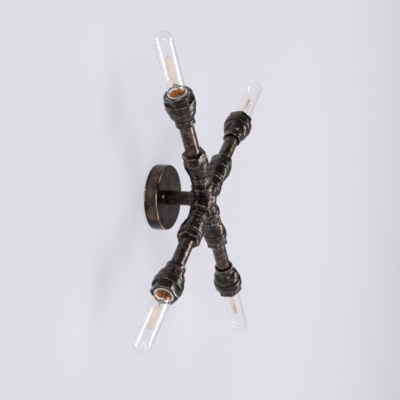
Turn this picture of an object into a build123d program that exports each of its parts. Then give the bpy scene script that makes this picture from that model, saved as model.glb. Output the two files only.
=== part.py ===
from build123d import *
import math
import os

os.makedirs("parts", exist_ok=True)

# Pipe wall light: a round canopy on the wall, a short stem, and a cross that carries four
# arms of pipe fittings, each with a screw-in tubular bulb.  Millimetres, +Z up.
# The origin is the centre of the canopy's back face, and the lamp stands out toward -Y.

# --- canopy and bracket ------------------------------------------------------------------
canopy_diameter = 120.0
canopy_depth = 24.4
canopy_wall = 1.2
canopy_edge_radius = 3.5
canopy_screw_spacing = 60.0
canopy_screw_diameter = 4.0
screw_hole_clearance = 0.4
screw_head_diameter = 7.4
screw_head_height = 2.4
screw_slot_width = 1.1
screw_slot_depth = 1.0

strap_thickness = 2.0
strap_width = 20.0
strap_overhang = 2.6
strap_bridge_height = 4.0
strap_bridge_length = 72.0
strap_riser_run = 5.0
strap_end_radius = 7.0
wall_slot_spacing = 98.0
wall_slot_length = 10.0
wall_slot_width = 5.0
notch_clearance = 0.5

# --- pipe sizes --------------------------------------------------------------------------
pipe_diameter = 26.0
pipe_wall = 3.0
thread_clearance = 0.05
thread_depth = 15.0
thread_engagement = 13.0

# --- stem --------------------------------------------------------------------------------
stem_reach = 95.0
spigot_diameter = 19.8
spigot_wall = 2.1
locknut_across_flats = 27.0
locknut_thickness = 5.0
washer_thickness = 1.0
washer_diameter = 28.0
washer_split = 1.6
spigot_proud = 1.5

# --- cross -------------------------------------------------------------------------------
cross_port_face = 36.5
cross_back_face = 27.0
cross_body_diameter = 34.6
cross_band_diameter = 39.0
cross_band_length = 11.0
cross_hub_diameter = 39.6
cross_waterway = 21.0
cross_band_chamfer = 1.6

# --- inner fittings of an arm ------------------------------------------------------------
nipple_hex_length = 12.5
nipple_across_flats = 31.0
nipple_bore = 19.0
small_band_diameter = 35.0
small_band_length = 9.0
inner_reducer_length = 43.0
inner_flare_diameter = 38.2
inner_bell_diameter = 40.6
inner_band_diameter = 43.6
inner_band_length = 13.0
inner_thread = 33.3
bushing_collar_length = 4.0
bushing_collar_diameter = 40.6
inner_hex_length = 11.5
inner_hex_across_flats = 37.6
inner_mouth_gap = 1.6
inner_mouth_depth = 2.5
band_step = 0.8
band_chamfer = 1.2
hex_chamfer_angle = 30.0

# --- pipe and outer fittings of an arm ---------------------------------------------------
pipe_visible_length = 64.0
pipe_set_back = 5.0
outer_small_band_length = 11.5
outer_reducer_length = 50.0
outer_flare_diameter = 44.6
outer_flare_run = 10.0
outer_bell_diameter = 47.8
outer_band_diameter = 54.0
outer_band_length = 15.5
outer_band_chamfer = 2.8
outer_mouth_gap = 2.2
outer_mouth_depth = 4.0
outer_thread = 41.9
socket_neck_length = 0.8
socket_hex_length = 13.7
socket_hex_across_flats = 43.4
socket_ledge = 2.0

# --- lampholder and bulb -----------------------------------------------------------------
porcelain_diameter = 33.0
porcelain_mouth_diameter = 29.2
porcelain_lower_diameter = 30.8
porcelain_fit = 0.15
porcelain_recess = 0.4
porcelain_floor = 3.0
shell_thread = 26.5
shell_wall = 0.5
shell_length = 27.0
shell_lip_length = 8.3
contact_thickness = 0.8
contact_diameter = 8.0
rivet_diameter = 3.8
rivet_proud = 0.5
shell_set_back = 1.0
bulb_fit = 0.1
bulb_cap_length = 23.0
bulb_cap_proud = 0.5
bulb_cap_taper = 3.0
bulb_cap_wall = 0.7
bulb_diameter = 31.6
bulb_glass_wall = 0.9
bulb_tip = 354.0
bulb_neck_length = 9.0
bulb_neck_proud = 3.5
bulb_shoulder_length = 13.0
bulb_contact_diameter = 17.0
mount_flare_edge = 1.0
mount_tube_diameter = 8.0
mount_press_length = 8.0
mount_press_width = 9.5
mount_rod_diameter = 1.8
filament_base = 262.0
filament_length = 41.0
filament_circle = 10.0
filament_strands = 8
filament_wire = 0.5
filament_lead_length = 9.0
filament_foot_radius = 2.6
mount_press_thickness = 3.6
mount_rod_proud = 5.0
mount_button_length = 2.0
button_radius = 3.0

# --- wiring ------------------------------------------------------------------------------
lead_diameter = 3.0
lead_offset = 3.2
lead_bend_radius = 14.0
lead_end_gap = 0.1
terminal_length = 30.0
terminal_height = 16.0
terminal_depth = 8.0
terminal_chamfer = 1.0
terminal_hole_depth = 3.4
terminal_screw_spacing = 7.0
terminal_screw_diameter = 3.4
terminal_screw_depth = 2.5

# Derived radii and the stations along the stem, measured from the wall.
canopy_radius = canopy_diameter / 2
pipe_radius = pipe_diameter / 2
threaded_bore = pipe_radius + thread_clearance
pipe_bore = pipe_radius - pipe_wall
spigot_radius = spigot_diameter / 2
strap_length = canopy_diameter + 2 * strap_overhang
bridge_front = strap_bridge_height + strap_thickness
locknut_front = canopy_depth - canopy_wall - washer_thickness
spigot_end = locknut_front - locknut_thickness - spigot_proud
stem_front = stem_reach - cross_back_face + thread_engagement
terminal_front = bridge_front + terminal_depth

# Stations along an arm, measured from the centre of the cross.
nipple_hex_end = cross_port_face + nipple_hex_length
inner_big_face = nipple_hex_end + inner_reducer_length
collar_end = inner_big_face + bushing_collar_length
inner_hex_face = collar_end + inner_hex_length
pipe_start = inner_big_face - thread_engagement + pipe_set_back
outer_small_face = inner_hex_face + pipe_visible_length
pipe_end = outer_small_face + thread_depth
outer_big_face = outer_small_face + outer_reducer_length
neck_end = outer_big_face + socket_neck_length
mouth_face = neck_end + socket_hex_length
ledge_start = outer_big_face - thread_depth
porcelain_seat = ledge_start + socket_ledge
porcelain_face = mouth_face - porcelain_recess

# The lampholder's depth follows from the bulb: its glass meets its cap inside the mouth.
shell_front = mouth_face - bulb_neck_length - shell_set_back
shell_back = shell_front - shell_length
porcelain_back = shell_back - porcelain_floor
contact_front = shell_back + contact_thickness
shell_inner = shell_thread / 2
shell_outer = shell_inner + shell_wall
bulb_radius = bulb_diameter / 2
porcelain_mouth = porcelain_mouth_diameter / 2
shell_lip_radius = porcelain_mouth - thread_clearance
shell_lip_end = shell_front + shell_lip_length
cap_radius = shell_inner - bulb_fit
cap_end = shell_front + bulb_cap_proud
cap_start = cap_end - bulb_cap_length
bulb_contact_start = contact_front + bulb_fit
glass_neck_radius = cap_radius - bulb_cap_wall - bulb_fit
glass_start = cap_end - bulb_neck_length
strand_turn = 360 / (filament_strands + 1)

# Each arm points up or down at 45 degrees, in the plane of the cross.  The last two values
# turn its inner and outer hexagons, which stop where their threads are tight.
slope = math.sqrt(0.5)
arms = {
    "upper_left": (-slope, slope, 12.0, 27.0),
    "upper_right": (slope, slope, 40.0, 49.0),
    "lower_left": (-slope, -slope, 28.0, 46.0),
    "lower_right": (slope, -slope, 5.0, 56.0),
}
cross_centre = Vector(0, -stem_reach, 0)
front = Vector(0, -1, 0)


# --- canopy: a drawn steel cup, open at the wall -----------------------------------------
with BuildPart() as canopy:
    with BuildSketch(Plane.XY) as cup_profile:
        with BuildLine():
            Polyline(
                (canopy_radius, 0),
                (canopy_radius, -canopy_depth),
                (spigot_radius + screw_hole_clearance, -canopy_depth),
                (spigot_radius + screw_hole_clearance, -canopy_depth + canopy_wall),
                (canopy_radius - canopy_wall, -canopy_depth + canopy_wall),
                (canopy_radius - canopy_wall, 0),
                close=True,
            )
        make_face()
        outer_corner = cup_profile.vertices().sort_by_distance((canopy_radius, -canopy_depth))[0]
        fillet(outer_corner, canopy_edge_radius)
        inner_corner = cup_profile.vertices().sort_by_distance(
            (canopy_radius - canopy_wall, -canopy_depth + canopy_wall)
        )[0]
        chamfer(inner_corner, canopy_edge_radius - canopy_wall)
    revolve(axis=Axis.Y)
    with BuildSketch(Plane.XZ.offset(canopy_depth - canopy_wall)):
        with GridLocations(canopy_screw_spacing, 0, 2, 1):
            Circle((canopy_screw_diameter + screw_hole_clearance) / 2)
    extrude(amount=canopy_wall, mode=Mode.SUBTRACT)
    # notches in the rim let the ends of the strap come through
    with BuildSketch(Plane.XZ):
        Rectangle(strap_length, strap_width + 2 * notch_clearance)
    extrude(amount=strap_thickness + notch_clearance, mode=Mode.SUBTRACT)
canopy.part.label = "canopy"
export_step(canopy.part, "parts/canopy.step")

# --- mounting strap: a hat-shaped bar that is screwed to the wall ------------------------
half_length = strap_length / 2
half_bridge = strap_bridge_length / 2
half_foot = half_bridge + strap_riser_run
riser_angle = math.atan2(strap_bridge_height, strap_riser_run)
riser_shift = strap_thickness * math.tan(riser_angle / 2)
with BuildPart() as mounting_strap:
    with BuildSketch(Plane.XY):
        with BuildLine():
            Polyline(
                (0, -strap_bridge_height),
                (half_bridge, -strap_bridge_height),
                (half_foot, 0),
                (half_length, 0),
                (half_length, -strap_thickness),
                (half_foot + riser_shift, -strap_thickness),
                (half_bridge + riser_shift, -bridge_front),
                (0, -bridge_front),
                close=True,
            )
        make_face()
        mirror(about=Plane.YZ)
    extrude(amount=strap_width / 2, both=True)
    end_edges = mounting_strap.edges().filter_by(Axis.Y)
    fillet(end_edges, strap_end_radius)
    with BuildSketch(Plane.XZ):
        with GridLocations(canopy_screw_spacing, 0, 2, 1):
            Circle(canopy_screw_diameter / 2 + thread_clearance)
        with GridLocations(wall_slot_spacing, 0, 2, 1):
            SlotOverall(wall_slot_length, wall_slot_width)
    extrude(amount=bridge_front, mode=Mode.SUBTRACT)
mounting_strap.part.label = "mounting_strap"
export_step(mounting_strap.part, "parts/mounting_strap.step")

# --- canopy screws: round heads on the front face, threaded into the strap ---------------
screw_radius = canopy_screw_diameter / 2
head_radius = screw_head_diameter / 2
head_top = canopy_depth + screw_head_height
dome_radius = (head_radius**2 + screw_head_height**2) / (2 * screw_head_height)
dome_angle = math.asin(head_radius / dome_radius) / 2
with BuildPart() as canopy_screws:
    for side in (-1, 1):
        screw_x = side * canopy_screw_spacing / 2
        with BuildSketch(Plane.XY):
            with BuildLine():
                Polyline(
                    (screw_x, -head_top),
                    (screw_x, -strap_bridge_height),
                    (screw_x + screw_radius, -strap_bridge_height),
                    (screw_x + screw_radius, -canopy_depth),
                    (screw_x + head_radius, -canopy_depth),
                )
                ThreePointArc(
                    (screw_x + head_radius, -canopy_depth),
                    (
                        screw_x + dome_radius * math.sin(dome_angle),
                        -head_top + dome_radius * (1 - math.cos(dome_angle)),
                    ),
                    (screw_x, -head_top),
                )
            make_face()
        revolve(axis=Axis((screw_x, 0, 0), (0, 1, 0)))
    with BuildSketch(Plane.XZ.offset(head_top - screw_slot_depth)):
        with GridLocations(canopy_screw_spacing, 0, 2, 1):
            Rectangle(screw_head_diameter, screw_slot_width, rotation=30)
    extrude(amount=screw_slot_depth, mode=Mode.SUBTRACT)
canopy_screws.part.label = "canopy_screws"
export_step(canopy_screws.part, "parts/canopy_screws.step")

# --- stem: shouldered on the canopy, its threaded spigot held by a locknut ---------------
spigot_bore = spigot_radius - spigot_wall
with BuildPart() as stem_pipe:
    with BuildSketch(Plane.XY):
        with BuildLine():
            Polyline(
                (pipe_bore, -stem_front),
                (pipe_radius, -stem_front),
                (pipe_radius, -canopy_depth),
                (spigot_radius, -canopy_depth),
                (spigot_radius, -spigot_end),
                (spigot_bore, -spigot_end),
                (spigot_bore, -canopy_depth - pipe_wall),
                (pipe_bore, -canopy_depth - pipe_wall),
                close=True,
            )
        make_face()
    revolve(axis=Axis.Y)
stem_pipe.part.label = "stem_pipe"
export_step(stem_pipe.part, "parts/stem_pipe.step")

with BuildPart() as stem_locknut:
    with BuildSketch(Plane.XZ.offset(locknut_front - locknut_thickness)):
        RegularPolygon(locknut_across_flats / 2, 6, major_radius=False)
        Circle(spigot_radius + thread_clearance, mode=Mode.SUBTRACT)
    extrude(amount=locknut_thickness)
stem_locknut.part.label = "stem_locknut"
export_step(stem_locknut.part, "parts/stem_locknut.step")

with BuildPart() as lock_washer:
    with BuildSketch(Plane.XZ.offset(locknut_front)):
        Circle(washer_diameter / 2)
        Circle(spigot_radius + thread_clearance, mode=Mode.SUBTRACT)
        with Locations((0, washer_diameter / 2)):
            Rectangle(washer_split, washer_diameter / 2, mode=Mode.SUBTRACT)
    extrude(amount=washer_thickness)
lock_washer.part.label = "lock_washer"
export_step(lock_washer.part, "parts/lock_washer.step")

# --- cross: a cast fitting with four ports in one plane and one at the back --------------
port_planes = [Plane(cross_centre, x_dir=front, z_dir=(x, 0, z)) for x, z, _, _ in arms.values()]
back_plane = Plane(cross_centre, x_dir=(1, 0, 0), z_dir=-front)
ports = [(plane, cross_port_face) for plane in port_planes] + [(back_plane, cross_back_face)]
band_radius = cross_band_diameter / 2
band_start = cross_port_face - cross_band_length
with BuildPart() as cross:
    for plane, face in ports:
        with BuildSketch(plane):
            Circle(cross_body_diameter / 2)
        extrude(amount=face)
    with Locations(cross_centre):
        Sphere(cross_hub_diameter / 2)
    for plane in port_planes:
        with BuildSketch(plane.offset(band_start)):
            Circle(band_radius)
        extrude(amount=cross_band_length)
        band_edges = cross.edges().filter_by(GeomType.CIRCLE).filter_by(
            lambda edge: abs(edge.radius - band_radius) < thread_clearance
            and plane.to_local_coords(edge.arc_center).Z > band_start - thread_clearance
        )
        chamfer(band_edges, cross_band_chamfer)
    for plane, face in ports:
        with BuildSketch(plane):
            Circle(cross_waterway / 2)
        extrude(amount=face, mode=Mode.SUBTRACT)
        with BuildSketch(plane.offset(face - thread_depth)):
            Circle(threaded_bore)
        extrude(amount=thread_depth, mode=Mode.SUBTRACT)
cross.part.label = "cross"
export_step(cross.part, "parts/cross.step")

# --- terminal block on the strap, behind the stem ----------------------------------------
with BuildPart() as terminal_block:
    with BuildSketch(Plane.XZ.offset(bridge_front)):
        Rectangle(terminal_length, terminal_height)
    extrude(amount=terminal_depth)
    chamfer(terminal_block.edges().filter_by(Axis.Y), terminal_chamfer)
    with BuildSketch(Plane.XZ.offset(terminal_front)):
        for x, z, _, _ in arms.values():
            with Locations((x * lead_offset, z * lead_offset)):
                Circle(lead_diameter / 2 + lead_end_gap)
    extrude(amount=-terminal_hole_depth, mode=Mode.SUBTRACT)
    with BuildSketch(Plane.XY.offset(terminal_height / 2)):
        with Locations((0, -bridge_front - terminal_depth / 2)):
            with GridLocations(terminal_screw_spacing, 0, 4, 1):
                Circle(terminal_screw_diameter / 2)
    extrude(amount=-terminal_screw_depth, mode=Mode.SUBTRACT)
terminal_block.part.label = "terminal_block"
export_step(terminal_block.part, "parts/terminal_block.step")

# --- leads: one twin lead to each lampholder, through the stem, the cross and the pipe ---
lead_start = terminal_front - terminal_hole_depth + lead_end_gap
rivet_end = porcelain_back - rivet_proud
with BuildPart() as lead_wires:
    for x, z, _, _ in arms.values():
        first = (x * lead_offset, -lead_start, z * lead_offset)
        corner = (x * lead_offset, -stem_reach, z * lead_offset)
        last = (x * rivet_end, -stem_reach, z * rivet_end)
        with BuildLine() as route:
            FilletPolyline(first, corner, last, radius=lead_bend_radius)
        with BuildSketch(Plane(first, x_dir=(1, 0, 0), z_dir=front)):
            RegularPolygon(lead_diameter / 2, 8)
        sweep(path=route.wires()[0])
lead_wires.part.label = "lead_wires"
export_step(lead_wires.part, "parts/lead_wires.step")

# --- centre contacts: a brass disc and rivet in the floor of each lampholder -------------
with BuildPart() as centre_contacts:
    for x, z, _, _ in arms.values():
        with BuildSketch(Plane(cross_centre, x_dir=front, z_dir=(x, 0, z)).offset(shell_back)):
            Circle(contact_diameter / 2)
        extrude(amount=contact_thickness)
        with BuildSketch(Plane(cross_centre, x_dir=front, z_dir=(x, 0, z)).offset(rivet_end)):
            Circle(rivet_diameter / 2)
        extrude(amount=shell_back - rivet_end)
centre_contacts.part.label = "centre_contacts"
export_step(centre_contacts.part, "parts/centre_contacts.step")

# --- screw shells: threaded brass, flared inside the mouth of the porcelain ---------------
with BuildPart() as screw_shells:
    for x, z, _, _ in arms.values():
        with BuildSketch(Plane(cross_centre, x_dir=front, z_dir=front.cross(Vector(x, 0, z)))):
            with BuildLine():
                Polyline(
                    (shell_inner, shell_back),
                    (shell_outer, shell_back),
                    (shell_outer, shell_front),
                    (shell_lip_radius, shell_lip_end),
                    (shell_lip_radius - shell_wall, shell_lip_end),
                    (shell_inner, shell_front),
                    close=True,
                )
            make_face()
        revolve(axis=Axis(cross_centre, (x, 0, z)))
screw_shells.part.label = "screw_shells"
export_step(screw_shells.part, "parts/screw_shells.step")

# --- the four arms -----------------------------------------------------------------------
# Every round piece is revolved from a half section: x is the radius, y the station.
for name, (x, z, inner_turn, outer_turn) in arms.items():
    outward = Vector(x, 0, z)
    across = Plane(cross_centre, x_dir=front, z_dir=outward)
    section = Plane(cross_centre, x_dir=front, z_dir=front.cross(outward))
    arm_axis = Axis(cross_centre, outward)

    # hex nipple between the cross and the first reducer
    with BuildPart() as hex_nipple:
        with BuildSketch(across.offset(cross_port_face)):
            RegularPolygon(nipple_across_flats / 2, 6, major_radius=False, rotation=inner_turn)
        extrude(amount=nipple_hex_length)
        with BuildSketch(across.offset(cross_port_face - thread_engagement)):
            Circle(pipe_radius)
        extrude(amount=nipple_hex_length + 2 * thread_engagement)
        with BuildSketch(across.offset(cross_port_face - thread_engagement)):
            Circle(nipple_bore / 2)
        extrude(amount=nipple_hex_length + 2 * thread_engagement, mode=Mode.SUBTRACT)
    hex_nipple.part.label = f"hex_nipple_{name}"
    export_step(hex_nipple.part, f"parts/hex_nipple_{name}.step")

    # first reducer: a cast bell with a band at each end
    small_radius = small_band_diameter / 2
    inner_bell = inner_bell_diameter / 2
    inner_band = inner_band_diameter / 2
    inner_bore = inner_thread / 2 + thread_clearance
    inner_neck = nipple_hex_end + small_band_length
    inner_band_start = inner_big_face - inner_band_length
    with BuildPart() as inner_reducer:
        with BuildSketch(section):
            with BuildLine():
                Polyline(
                    (threaded_bore, nipple_hex_end),
                    (small_radius, nipple_hex_end),
                    (small_radius, inner_neck - band_step),
                    (small_radius - band_step, inner_neck),
                    (inner_flare_diameter / 2, (inner_neck + inner_band_start) / 2),
                    (inner_bell, inner_band_start),
                    (inner_bell + band_step, inner_band_start),
                    (inner_band, inner_band_start + band_chamfer),
                    (inner_band, inner_big_face - band_chamfer),
                    (inner_bell + band_step, inner_big_face),
                    (inner_bore, inner_big_face),
                    (inner_bore, inner_big_face - thread_depth),
                    (threaded_bore, nipple_hex_end + thread_depth),
                    close=True,
                )
            make_face()
        revolve(axis=arm_axis)
    inner_reducer.part.label = f"inner_reducer_{name}"
    export_step(inner_reducer.part, f"parts/inner_reducer_{name}.step")

    # hex bushing: its collar closes the reducer and the pipe screws into it
    hex_corner = inner_hex_across_flats / math.sqrt(3)
    hex_flat = inner_hex_across_flats / 2
    hex_drop = (hex_corner - hex_flat) * math.tan(math.radians(hex_chamfer_angle))
    with BuildPart() as inner_bushing:
        with BuildSketch(across.offset(collar_end)):
            RegularPolygon(hex_flat, 6, major_radius=False, rotation=inner_turn)
        extrude(amount=inner_hex_length)
        with BuildSketch(section):
            with BuildLine():
                Polyline(
                    (0, collar_end),
                    (hex_corner, collar_end),
                    (hex_corner, inner_hex_face - hex_drop),
                    (hex_flat, inner_hex_face),
                    (0, inner_hex_face),
                    close=True,
                )
            make_face()
        revolve(axis=arm_axis, mode=Mode.INTERSECT)
        with BuildSketch(across.offset(inner_big_face)):
            Circle(bushing_collar_diameter / 2)
        extrude(amount=bushing_collar_length)
        with BuildSketch(across.offset(inner_big_face - thread_engagement)):
            Circle(inner_thread / 2)
        extrude(amount=thread_engagement)
        with BuildSketch(section):
            with BuildLine():
                Polyline(
                    (0, inner_big_face - thread_engagement),
                    (threaded_bore, inner_big_face - thread_engagement),
                    (threaded_bore, inner_hex_face - inner_mouth_depth),
                    (threaded_bore + inner_mouth_gap, inner_hex_face),
                    (0, inner_hex_face),
                    close=True,
                )
            make_face()
        revolve(axis=arm_axis, mode=Mode.SUBTRACT)
    inner_bushing.part.label = f"inner_bushing_{name}"
    export_step(inner_bushing.part, f"parts/inner_bushing_{name}.step")

    # arm pipe, screwed into the bushing at one end and the larger reducer at the other
    with BuildPart() as arm_pipe:
        with BuildSketch(across.offset(pipe_start)):
            Circle(pipe_radius)
            Circle(pipe_bore, mode=Mode.SUBTRACT)
        extrude(amount=pipe_end - pipe_start)
    arm_pipe.part.label = f"arm_pipe_{name}"
    export_step(arm_pipe.part, f"parts/arm_pipe_{name}.step")

    # second reducer: a fuller bell, open round the pipe, with a heavy band at its mouth
    outer_bell = outer_bell_diameter / 2
    outer_band = outer_band_diameter / 2
    outer_bore = outer_thread / 2 + thread_clearance
    outer_neck = outer_small_face + outer_small_band_length
    outer_band_start = outer_big_face - outer_band_length
    with BuildPart() as outer_reducer:
        with BuildSketch(section):
            with BuildLine():
                Polyline(
                    (threaded_bore, outer_small_face + outer_mouth_depth),
                    (threaded_bore + outer_mouth_gap, outer_small_face),
                    (small_radius - band_chamfer, outer_small_face),
                    (small_radius, outer_small_face + band_chamfer),
                    (small_radius, outer_neck),
                    (small_radius - band_step, outer_neck + band_step),
                    (outer_flare_diameter / 2, outer_neck + outer_flare_run),
                    (outer_bell, outer_band_start),
                    (outer_bell + band_step, outer_band_start),
                    (outer_band, outer_band_start + outer_band_chamfer),
                    (outer_band, outer_big_face - outer_band_chamfer),
                    (outer_band - band_chamfer, outer_big_face),
                    (outer_bore, outer_big_face),
                    (outer_bore, outer_big_face - thread_depth),
                    (threaded_bore, pipe_end),
                    close=True,
                )
            make_face()
        revolve(axis=arm_axis)
    outer_reducer.part.label = f"outer_reducer_{name}"
    export_step(outer_reducer.part, f"parts/outer_reducer_{name}.step")

    # socket bushing: hex outside the band, bored for the porcelain, which sits on a ledge
    socket_corner = socket_hex_across_flats / math.sqrt(3)
    socket_flat = socket_hex_across_flats / 2
    socket_drop = (socket_corner - socket_flat) * math.tan(math.radians(hex_chamfer_angle))
    porcelain_radius = porcelain_diameter / 2
    lower_radius = porcelain_lower_diameter / 2
    with BuildPart() as socket_bushing:
        with BuildSketch(across.offset(neck_end)):
            RegularPolygon(socket_flat, 6, major_radius=False, rotation=outer_turn)
        extrude(amount=socket_hex_length)
        with BuildSketch(section):
            with BuildLine():
                Polyline(
                    (0, neck_end),
                    (socket_corner, neck_end),
                    (socket_corner, mouth_face - socket_drop),
                    (socket_flat, mouth_face),
                    (0, mouth_face),
                    close=True,
                )
            make_face()
        revolve(axis=arm_axis, mode=Mode.INTERSECT)
        with BuildSketch(across.offset(ledge_start)):
            Circle(outer_thread / 2)
        extrude(amount=neck_end - ledge_start)
        with BuildSketch(across.offset(ledge_start)):
            Circle(lower_radius + porcelain_fit)
        extrude(amount=socket_ledge, mode=Mode.SUBTRACT)
        with BuildSketch(across.offset(porcelain_seat)):
            Circle(porcelain_radius + porcelain_fit)
        extrude(amount=mouth_face - porcelain_seat, mode=Mode.SUBTRACT)
    socket_bushing.part.label = f"socket_bushing_{name}"
    export_step(socket_bushing.part, f"parts/socket_bushing_{name}.step")

    # lampholder: a stepped porcelain cup, its mouth wider than the screw shell
    rivet_radius = rivet_diameter / 2
    pocket_radius = shell_outer + thread_clearance
    with BuildPart() as lampholder:
        with BuildSketch(section):
            with BuildLine():
                Polyline(
                    (rivet_radius + thread_clearance, porcelain_back),
                    (lower_radius, porcelain_back),
                    (lower_radius, porcelain_seat),
                    (porcelain_radius, porcelain_seat),
                    (porcelain_radius, porcelain_face),
                    (porcelain_mouth, porcelain_face),
                    (porcelain_mouth, shell_front),
                    (pocket_radius, shell_front),
                    (pocket_radius, shell_back),
                    (rivet_radius + thread_clearance, shell_back),
                    close=True,
                )
            make_face()
        revolve(axis=arm_axis)
    lampholder.part.label = f"lampholder_{name}"
    export_step(lampholder.part, f"parts/lampholder_{name}.step")

    # bulb contact: the insulator and solder button in the end of the cap
    insulator_radius = bulb_contact_diameter / 2
    insulator_top = cap_start + bulb_cap_taper
    with BuildPart() as bulb_contact:
        with BuildSketch(section):
            with BuildLine():
                Polyline(
                    (0, bulb_contact_start),
                    (button_radius, bulb_contact_start),
                    (insulator_radius - bulb_fit, cap_start),
                    (insulator_radius - bulb_fit, insulator_top),
                    (0, insulator_top),
                    close=True,
                )
            make_face()
        revolve(axis=arm_axis)
    bulb_contact.part.label = f"bulb_contact_{name}"
    export_step(bulb_contact.part, f"parts/bulb_contact_{name}.step")

    # bulb cap: a thin brass cup that narrows to the insulator
    cap_inner = cap_radius - bulb_cap_wall
    with BuildPart() as bulb_cap:
        with BuildSketch(section):
            with BuildLine():
                Polyline(
                    (insulator_radius, cap_start),
                    (cap_radius, cap_start + bulb_cap_taper),
                    (cap_radius, cap_end),
                    (cap_inner, cap_end),
                    (cap_inner, cap_start + bulb_cap_taper + bulb_cap_wall),
                    (insulator_radius, cap_start + bulb_cap_wall),
                    close=True,
                )
            make_face()
        revolve(axis=arm_axis)
    bulb_cap.part.label = f"bulb_cap_{name}"
    export_step(bulb_cap.part, f"parts/bulb_cap_{name}.step")

    # bulb glass: a tube with a domed end, drawn in to a neck inside the cap
    dome_start = bulb_tip - bulb_radius
    neck_top = cap_end + bulb_neck_proud
    shoulder_end = neck_top + bulb_shoulder_length
    inner_bulb = bulb_radius - bulb_glass_wall
    inner_neck_radius = glass_neck_radius - bulb_glass_wall
    with BuildPart() as bulb_glass:
        with BuildSketch(section):
            with BuildLine():
                Polyline(
                    (inner_bulb, dome_start),
                    (inner_bulb, shoulder_end),
                    (inner_neck_radius, neck_top),
                    (inner_neck_radius, glass_start),
                    (glass_neck_radius, glass_start),
                    (glass_neck_radius, neck_top),
                    (bulb_radius, shoulder_end),
                    (bulb_radius, dome_start),
                )
                ThreePointArc(
                    (bulb_radius, dome_start),
                    (bulb_radius * slope, dome_start + bulb_radius * slope),
                    (0, bulb_tip),
                )
                Line((0, bulb_tip), (0, bulb_tip - bulb_glass_wall))
                ThreePointArc(
                    (0, bulb_tip - bulb_glass_wall),
                    (inner_bulb * slope, dome_start + inner_bulb * slope),
                    (inner_bulb, dome_start),
                )
            make_face()
        revolve(axis=arm_axis)
    bulb_glass.part.label = f"bulb_glass_{name}"
    export_step(bulb_glass.part, f"parts/bulb_glass_{name}.step")

    # glass mount: flare, tube, flat press and rod, with spokes to the top of the filament
    flare_radius = inner_neck_radius - bulb_fit
    rod_radius = mount_rod_diameter / 2
    press_end = filament_base - filament_lead_length
    press_start = press_end - mount_press_length
    filament_top = filament_base + filament_length
    rod_end = filament_top + mount_rod_proud
    button_start = rod_end - mount_button_length
    cage_radius = filament_circle / 2
    wire_radius = filament_wire / 2
    spoke_radius = cage_radius * math.cos(math.radians(strand_turn / 2))
    spoke_station = filament_top + filament_wire + thread_clearance
    with BuildPart() as bulb_mount:
        with BuildSketch(section):
            with BuildLine():
                Polyline(
                    (0, glass_start + mount_flare_edge),
                    (flare_radius, glass_start + mount_flare_edge),
                    (mount_tube_diameter / 2, cap_end),
                    (mount_tube_diameter / 2, press_start),
                    (0, press_start),
                    close=True,
                )
            make_face()
        revolve(axis=arm_axis)
        with BuildSketch(across.offset(press_start)):
            Rectangle(mount_press_width, mount_press_thickness)
        extrude(amount=mount_press_length)
        with BuildSketch(across.offset(press_end)):
            RegularPolygon(rod_radius, 6)
        extrude(amount=rod_end - press_end)
        with BuildSketch(across.offset(button_start)):
            RegularPolygon(2 * rod_radius, 6)
        extrude(amount=mount_button_length)
        for strand in range(0, filament_strands, 2):
            turn = math.radians((strand + 0.5) * strand_turn)
            tip = Vector(spoke_radius * math.cos(turn), spoke_radius * math.sin(turn), spoke_station)
            spoke_start = across.from_local_coords(Vector(0, 0, rod_end - mount_button_length / 2))
            spoke = across.from_local_coords(tip) - spoke_start
            with BuildSketch(Plane(spoke_start, z_dir=spoke)):
                RegularPolygon(wire_radius, 4)
            extrude(amount=spoke.length)
    bulb_mount.part.label = f"bulb_mount_{name}"
    export_step(bulb_mount.part, f"parts/bulb_mount_{name}.step")

    # filament: one wire that leaves the press, runs up and down round the rod and returns
    corners = [(filament_foot_radius, 0, press_end)]
    for strand in range(filament_strands):
        turn = math.radians(strand * strand_turn)
        ends = (filament_top, filament_base) if strand % 2 else (filament_base, filament_top)
        for station in ends:
            corners.append((cage_radius * math.cos(turn), cage_radius * math.sin(turn), station))
    corners.append((filament_foot_radius * math.cos(turn), filament_foot_radius * math.sin(turn), press_end))
    with BuildPart() as bulb_filament:
        with BuildLine(across) as filament_route:
            Polyline(*corners)
        with BuildSketch(Plane(filament_route.line @ 0, z_dir=filament_route.line % 0)):
            RegularPolygon(wire_radius, 6)
        sweep(path=filament_route.wires()[0], transition=Transition.RIGHT)
    bulb_filament.part.label = f"bulb_filament_{name}"
    export_step(bulb_filament.part, f"parts/bulb_filament_{name}.step")
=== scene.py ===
import bpy
import math
from mathutils import Matrix, Vector


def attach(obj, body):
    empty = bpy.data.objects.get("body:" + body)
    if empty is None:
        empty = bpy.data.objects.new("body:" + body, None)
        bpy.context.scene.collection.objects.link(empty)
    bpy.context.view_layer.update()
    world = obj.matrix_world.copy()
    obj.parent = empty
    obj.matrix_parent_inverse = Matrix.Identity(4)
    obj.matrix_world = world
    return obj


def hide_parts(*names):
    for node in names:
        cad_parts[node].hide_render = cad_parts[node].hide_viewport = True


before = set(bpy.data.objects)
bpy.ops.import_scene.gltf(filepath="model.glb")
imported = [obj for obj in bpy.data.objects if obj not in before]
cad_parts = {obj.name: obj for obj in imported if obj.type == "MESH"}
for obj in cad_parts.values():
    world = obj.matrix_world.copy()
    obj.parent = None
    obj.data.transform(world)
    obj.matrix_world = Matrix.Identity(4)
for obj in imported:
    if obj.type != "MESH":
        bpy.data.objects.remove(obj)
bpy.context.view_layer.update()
print("stage: frame loaded,", len(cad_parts), "nodes")

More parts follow.
